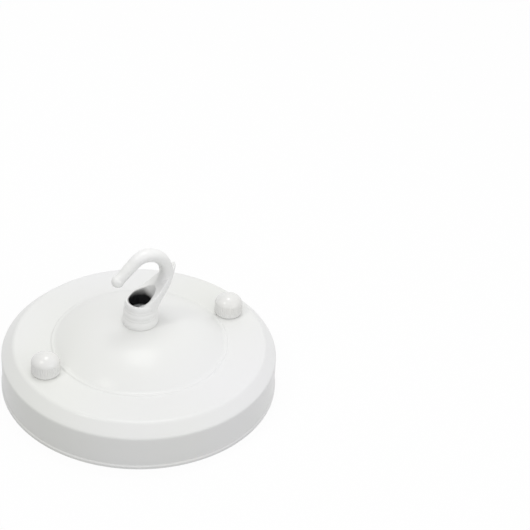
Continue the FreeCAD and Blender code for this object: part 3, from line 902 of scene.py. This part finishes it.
def breakEdges(node, name, width, s):
    piece = copyOf(nodes[node], name)
    editAll(piece)
    bpy.ops.mesh.remove_doubles(threshold=solidWeld)
    bpy.ops.mesh.dissolve_limited(angle_limit=math.radians(s["flatAngle"]))
    bpy.ops.object.mode_set(mode="OBJECT")
    edge = piece.modifiers.new("edge", "BEVEL")
    edge.width = width * mm
    edge.segments = s["segments"]
    edge.limit_method = "ANGLE"
    edge.angle_limit = math.radians(s["sharpAngle"])
    edge.use_clamp_overlap = True
    applyModifiers(piece)
    smoothByAngle(piece, s["sharpAngle"])
    return piece


for node, (name, slot, width, material) in innerSettings.items():
    piece = breakEdges(node, name, width, edgeSettings)
    standFor(piece, node, "rose", material)
print("inner pieces finished")


# studio: a pale floor, a world that is dimmer at the sides, and three lamps

studioSettings = {
    "floorSize": 3.0,
    "floorGrey": 0.46,
    "floorRough": 0.9,
    "floorShown": 0.9,
    "floorGlow": 0.93,
    "rightward": (0.82, -0.573, 0),
    "worldMiddle": 0.90,
    "worldSides": -0.46,
    "worldLean": (0.100, -0.150, 0),
}


def grey(value):
    return value, value, value, 1


def seenDirectly(tree):
    # 1 for what the camera, a reflection or glass sees, 0 for the light that falls on the object
    path = addNode(tree, "ShaderNodeLightPath")
    seen = calculate(tree, path.outputs["Is Camera Ray"], path.outputs["Is Glossy Ray"], "MAXIMUM")
    return calculate(tree, seen, path.outputs["Is Transmission Ray"], "MAXIMUM")


def mixShaders(tree, share, first, second):
    mix = addNode(tree, "ShaderNodeMixShader")
    if isinstance(share, float):
        mix.inputs[0].default_value = share
    else:
        tree.links.new(share, mix.inputs[0])
    tree.links.new(first.outputs[0], mix.inputs[1])
    tree.links.new(second.outputs[0], mix.inputs[2])
    return mix


def makeFloor(s):
    # seen directly it is nearly white and keeps the shadow, but it throws back the light of a grey floor
    deselectAll()
    bpy.ops.mesh.primitive_plane_add(size=s["floorSize"])
    floor = bpy.context.object
    floor.name = "studioFloor"
    material, tree, shader = newMaterial("studioFloor")
    shader.inputs["Base Color"].default_value = grey(s["floorGrey"])
    shader.inputs["Roughness"].default_value = s["floorRough"]
    lit = addNode(tree, "ShaderNodeBsdfDiffuse", Color=grey(s["floorShown"]))
    glow = addNode(tree, "ShaderNodeEmission", Strength=1.0, Color=grey(1))
    pale = mixShaders(tree, s["floorGlow"], lit, glow)
    choice = mixShaders(tree, seenDirectly(tree), shader, pale)
    tree.links.new(choice.outputs[0], tree.nodes["Material Output"].inputs["Surface"])
    floor.data.materials.append(material)


def along(tree, direction, way):
    node = addNode(tree, "ShaderNodeVectorMath", operation="DOT_PRODUCT")
    node.inputs[1].default_value = way
    tree.links.new(direction, node.inputs[0])
    return node.outputs["Value"]


def makeWorld(s):
    # white where it is seen; as a light it is the middle value plus sides times across squared plus the lean
    world = bpy.data.worlds.new("studioWorld")
    world.use_nodes = True
    tree = world.node_tree
    direction = addNode(tree, "ShaderNodeTexCoord").outputs["Generated"]
    across = along(tree, direction, s["rightward"])
    sides = calculate(tree, calculate(tree, across, across, "MULTIPLY"), s["worldSides"], "MULTIPLY")
    leaning = calculate(tree, sides, along(tree, direction, s["worldLean"]))
    background = tree.nodes["Background"]
    background.inputs["Color"].default_value = grey(1)
    tree.links.new(calculate(tree, leaning, s["worldMiddle"]), background.inputs["Strength"])
    white = addNode(tree, "ShaderNodeBackground", Strength=1.0, Color=grey(1))
    mix = mixShaders(tree, seenDirectly(tree), background, white)
    tree.links.new(mix.outputs[0], tree.nodes["World Output"].inputs["Surface"])
    bpy.context.scene.world = world


lampAim = (0, 0, 0.02)
lampSettings = {
    "sideKey": {"place": (-0.40, 0.02, 0.70), "size": 0.18, "power": 0.64, "colour": (1.0, 0.995, 0.96)},
    "overhead": {"place": (0.10, 0.15, 0.74), "size": 0.24, "power": 0.93, "colour": (1.0, 1.0, 1.0)},
    "rightFill": {"place": (0.26, -0.74, 0.35), "size": 0.5, "power": 0.55, "colour": (0.97, 0.98, 1.0)},
}


def addLamp(name, s):
    bpy.ops.object.light_add(type="AREA", location=s["place"])
    lamp = bpy.context.object
    lamp.name = name
    lamp.data.size = s["size"]
    lamp.data.energy = s["power"]
    lamp.data.color = s["colour"]
    lamp.rotation_euler = (Vector(lampAim) - Vector(s["place"])).to_track_quat("-Z", "Y").to_euler()


makeFloor(studioSettings)
makeWorld(studioSettings)
for name, settings in lampSettings.items():
    addLamp(name, settings)
bpy.context.scene.view_settings.view_transform = "Standard"
print("studio lit")
